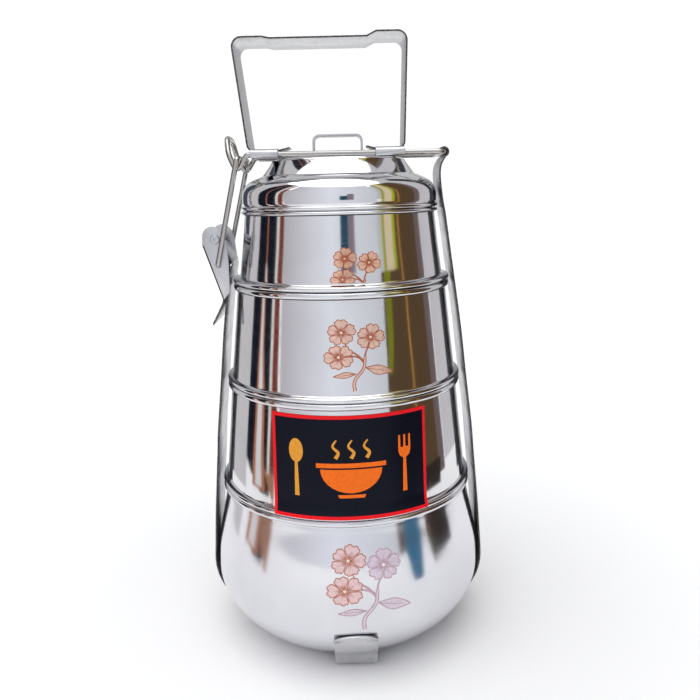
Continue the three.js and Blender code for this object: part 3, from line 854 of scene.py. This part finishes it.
def spray(name, wall, centre, height, size, body, inks, faded, tilt=(90, 40, 75), cut=None):
    """One spray, drawn flat about the fork of its stalks, then laid on the wall. The right
    blossom, the stalks and the leaves may be fainter; below the cut it is trimmed off."""
    shapes = [stroke(STALK, (1.4, 1.8), 0.05, faded[1]), stroke(STALK, (0.6, 1.0), 0.07, faded[0])]
    for stem, layer in zip(STEMS, (0.046, 0.042, 0.038)):
        shapes.append(stroke(stem, (0.6, 1), layer, faded[1]))
    shapes += leaf((1.2, -4.4), (14.6, -7.2), 2.5, faded)
    shapes += leaf((-3.0, -7.0), (-14.2, -8.2), 1.5, faded)
    for spot, turn, tint in zip(BLOSSOM_SPOTS, tilt, (inks, inks, faded)):
        shapes += blossom(spot, turn, tint)
    whole = join(shapes, name)
    for corner in whole.data.vertices:
        corner.co = (corner.co.x * size, corner.co.y * size + height * MM, corner.co.z)
    slice_flat(whole, 2.4, rows=body == "frame")
    if cut is not None:
        bpy.ops.object.mode_set(mode="EDIT")
        bpy.ops.mesh.select_all(action="SELECT")
        bpy.ops.mesh.bisect(plane_co=(0, cut * MM, 0), plane_no=(0, 1, 0), clear_inner=True)
        bpy.ops.object.mode_set(mode="OBJECT")
    wrap(whole, wall, centre, level(wall, height))
    thicken(whole, INK_THICKNESS)
    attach(whole, body)


def etched_inks(name, fill, line, eye):
    """Inks for the petals, their outlines, and the eye of a blossom."""
    return (print_ink(name + "_petal", fill, 0.25, 0.7), print_ink(name + "_line", line, 0.4, 0.1),
            print_ink(name + "_eye", eye, 0.25, 0.7))


peach = etched_inks("peach", (0.80, 0.54, 0.44), (0.42, 0.11, 0.045), (0.9, 0.75, 0.6))
apricot = etched_inks("apricot", (0.82, 0.50, 0.36), (0.42, 0.09, 0.025), (0.9, 0.7, 0.5))
pink = etched_inks("pink", (0.78, 0.56, 0.56), (0.5, 0.2, 0.15), (0.85, 0.7, 0.6))
lilac = etched_inks("lilac", (0.70, 0.60, 0.70), (0.52, 0.36, 0.42), (0.85, 0.8, 0.9))
wall_2 = [(151.5, 60.45), (193.3, 55.65)]
wall_1 = [(200.9, 53.9), (202.2, 53.55), (231.7, 49.75)]
belly_wall = [(up, out) for out, up in belly]
spray("container_2_flowers", wall_2, 9.4, 166.0, 1.0, "container_2", peach, peach)
spray("container_1_flowers", wall_1, 11.2, 201.9, 0.83, "container_1", apricot, apricot,
      (80, 50, 60), 201.0)
spray("base_container_flowers", belly_wall, 10.1, 53.2, 1.27, "frame", pink, lilac, (70, 35, 85))

# ---- Studio -----------------------------------------------------------------------------
# A pale floor with a painted shadow round the set, a soft overhead light, and tall cards
# standing round the set, which show only as the stripes that polished steel mirrors.
deselect()
bpy.ops.mesh.primitive_plane_add(size=12)
floor = bpy.context.object
floor.name = "floor"
pale = Finish("floor_painted_shadow")
# Painted shadow: the floor's colour is darker near the set, 0.91 within 0.15 m and fading to white
# by 0.45 m.
from_set = pale.node("ShaderNodeVectorMath", {0: pale.place}, operation="LENGTH").outputs["Value"]
pale.feed("Base Color", pale.mix(
    pale.between(from_set, 0, 1, 0.15, 0.45), (0.91, 0.91, 0.92), (1.0, 1.0, 1.0)))
pale.feed("Roughness", 0.9)
pale.feed("Specular IOR Level", 0.1)
paint(floor, pale.material)

AIR_SEEN, AIR_MIRRORED, AIR_LESS = 1.05, 0.62, -0.27
world = bpy.data.worlds.new("studio")
bpy.context.scene.world = world
world.use_nodes = True
air = world.node_tree
backdrop = air.nodes["Background"]
seen = air.nodes.new("ShaderNodeLightPath")
brightness = air.nodes.new("ShaderNodeMapRange")
brightness.inputs["To Min"].default_value = AIR_MIRRORED
brightness.inputs["To Max"].default_value = AIR_SEEN
air.links.new(seen.outputs["Is Camera Ray"], brightness.inputs["Value"])
fill_light = air.nodes.new("ShaderNodeMath")     # less of it falls on the floor and the print
fill_light.operation = "MULTIPLY_ADD"
fill_light.inputs[1].default_value = AIR_LESS
air.links.new(seen.outputs["Is Diffuse Ray"], fill_light.inputs[0])
air.links.new(brightness.outputs[0], fill_light.inputs[2])
air.links.new(fill_light.outputs[0], backdrop.inputs["Strength"])
backdrop.inputs["Color"].default_value = (0.98, 0.99, 1.0, 1)


def card(name, bottom, top, colour, low=0.0, high=0.7, distance=0.3, other=None, columns=12):
    """A curved card; bottom and top are its two sides' angles round the set from the
    front, towards the right. Its colour may turn into another towards the right."""
    deselect()
    bpy.ops.mesh.primitive_grid_add(x_subdivisions=columns, y_subdivisions=1, size=1)
    sheet = bpy.context.object
    sheet.name = name
    for corner in sheet.data.vertices:
        along, up = corner.co.x + 0.5, corner.co.y + 0.5
        left = bottom[0] + (top[0] - bottom[0]) * up
        right = bottom[1] + (top[1] - bottom[1]) * up
        turned = radians(left + (right - left) * along)
        corner.co = (distance * sin(turned), -distance * cos(turned), low + (high - low) * up)
    glow = Finish(name + "_glow")
    glow.feed("Base Color", (0, 0, 0, 1))
    glow.feed("Roughness", 1.0)
    glow.feed("Specular IOR Level", 0.0)
    if other is None:
        glow.feed("Emission Color", (*colour, 1))
    else:
        parts = glow.node("ShaderNodeSeparateXYZ", {0: glow.place}).outputs
        angle = glow.math("ARCTAN2", parts[0], glow.math("MULTIPLY", parts[1], -1.0))
        glow.feed("Emission Color", glow.mix(glow.between(
            angle, 0, 1, radians(bottom[0]), radians(bottom[1])), colour, other))
    glow.feed("Emission Strength", 1.0)
    paint(sheet, glow.material)
    sheet.visible_camera = sheet.visible_diffuse = sheet.visible_shadow = False


NAVY, BROWN, MAUVE = (0.007, 0.011, 0.021), (0.11, 0.066, 0.035), (0.17, 0.13, 0.13)
CREAM, RUST, COPPER = (0.87, 0.83, 0.78), (0.2, 0.035, 0.02), (0.5, 0.19, 0.1)
GREEN, OCHRE, BEIGE = (0.42, 0.48, 0.01), (0.48, 0.235, 0.06), (0.78, 0.65, 0.42)
TEAL, LILAC, SKY = (0.011, 0.07, 0.127), (0.58, 0.55, 0.59), (0.93, 0.96, 1.02)
GREY = (0.66, 0.64, 0.65)
LOW, MIDDLE = 0.04, 0.215      # the base mirrors what is below LOW, container 1 above MIDDLE
card("front_left", (-62, -10), (-62, -10), LILAC, -0.01, 1.1, 0.62, SKY)
card("front_right", (-10, 42), (-10, 42), SKY, -0.01, 1.1, 0.62, (0.72, 0.74, 0.78))
card("left_rust", (-68, -61), (-66, -62), RUST, LOW)
card("left_dark", (-98, -67.5), (-98, -67), NAVY, LOW)
card("left_dark_foot", (-78, -68), (-98, -67.5), (0.02, 0.018, 0.022), 0.008, LOW)
card("left_cream", (-70, -67.5), (-71.5, -66), CREAM, LOW, distance=0.29)
card("left_copper", (-88, -72), (-84.5, -81.5), COPPER, 0.015, MIDDLE, 0.29)
card("left_copper_line", (-84.2, -82.6), (-84.2, -82.8), COPPER, MIDDLE, 0.7, 0.29)
card("left_white", (-84, -76), (-83.6, -82.4), (0.8, 0.8, 0.8), 0.02, 0.22, 0.285)
card("left_wedge", (-64, -63), (-74, -61.5), (0.42, 0.2, 0.12), 0.002, LOW)
card("left_back", (-124, -98), (-124, -98), GREY)
card("left_far_dark", (-142, -124), (-142, -124), (0.06, 0.07, 0.1))
card("right_brown", (39, 89), (41, 89), BROWN, LOW, MIDDLE)
card("right_brown_high", (47, 89), (47, 89), BROWN, MIDDLE)
card("right_foot", (68, 90), (64, 92), (0.035, 0.026, 0.024), 0.008, LOW)
card("right_beige", (47.5, 57.5), (50, 59), BEIGE, MIDDLE, 0.7, 0.29)
card("right_green_line", (44.5, 46.8), (45.5, 47.5), GREEN, MIDDLE, 0.7, 0.288)
card("right_green", (56.5, 60), (61, 64), GREEN, MIDDLE, 0.7, 0.28)
card("right_green_low", (41, 45), (44, 51), (0.22, 0.24, 0.015), 0.13, MIDDLE, 0.28)
card("right_ochre", (66, 68), (62, 64), OCHRE, LOW, 0.5, 0.285)
card("right_mauve", (87, 98), (87, 98), MAUVE, 0.02)
card("right_grey", (99, 122), (99, 122), (0.66, 0.64, 0.66), 0.03)
card("right_far_dark", (122, 140), (122, 140), (0.05, 0.05, 0.06))
card("right_low_teal", (52, 53), (43, 59), (0.04, 0.17, 0.3), -0.028, 0.052, 0.28)
card("near_panel_blue", (1, 9), (1, 9), TEAL, 0.225, 0.3, 0.45)
card("near_panel_grey", (9, 16), (9, 16), (0.26, 0.21, 0.24), 0.225, 0.33, 0.45)

deselect()
bpy.ops.object.light_add(
    type="SUN", location=(-0.3, -0.3, 1.4), rotation=(radians(14), radians(-10), 0))
overhead = bpy.context.object
overhead.name = "soft_overhead"
overhead.data.energy, overhead.data.angle = 2.52, radians(80)

DOWNWARDS, TIPPED = 12.68, -1.35
bpy.ops.object.camera_add(location=(0.00383, -0.3723, 0.241))
camera = bpy.context.object
camera.data.sensor_width, camera.data.lens = 36, 36 * 690 / 700
camera.data.clip_start = 0.01
view = (Matrix.Rotation(radians(90 - DOWNWARDS), 4, "X")
        @ Matrix.Rotation(radians(TIPPED), 4, "Z"))
camera.matrix_world = Matrix.Translation(camera.location) @ view
bpy.context.scene.camera = camera
bpy.context.scene.view_settings.view_transform = "Standard"
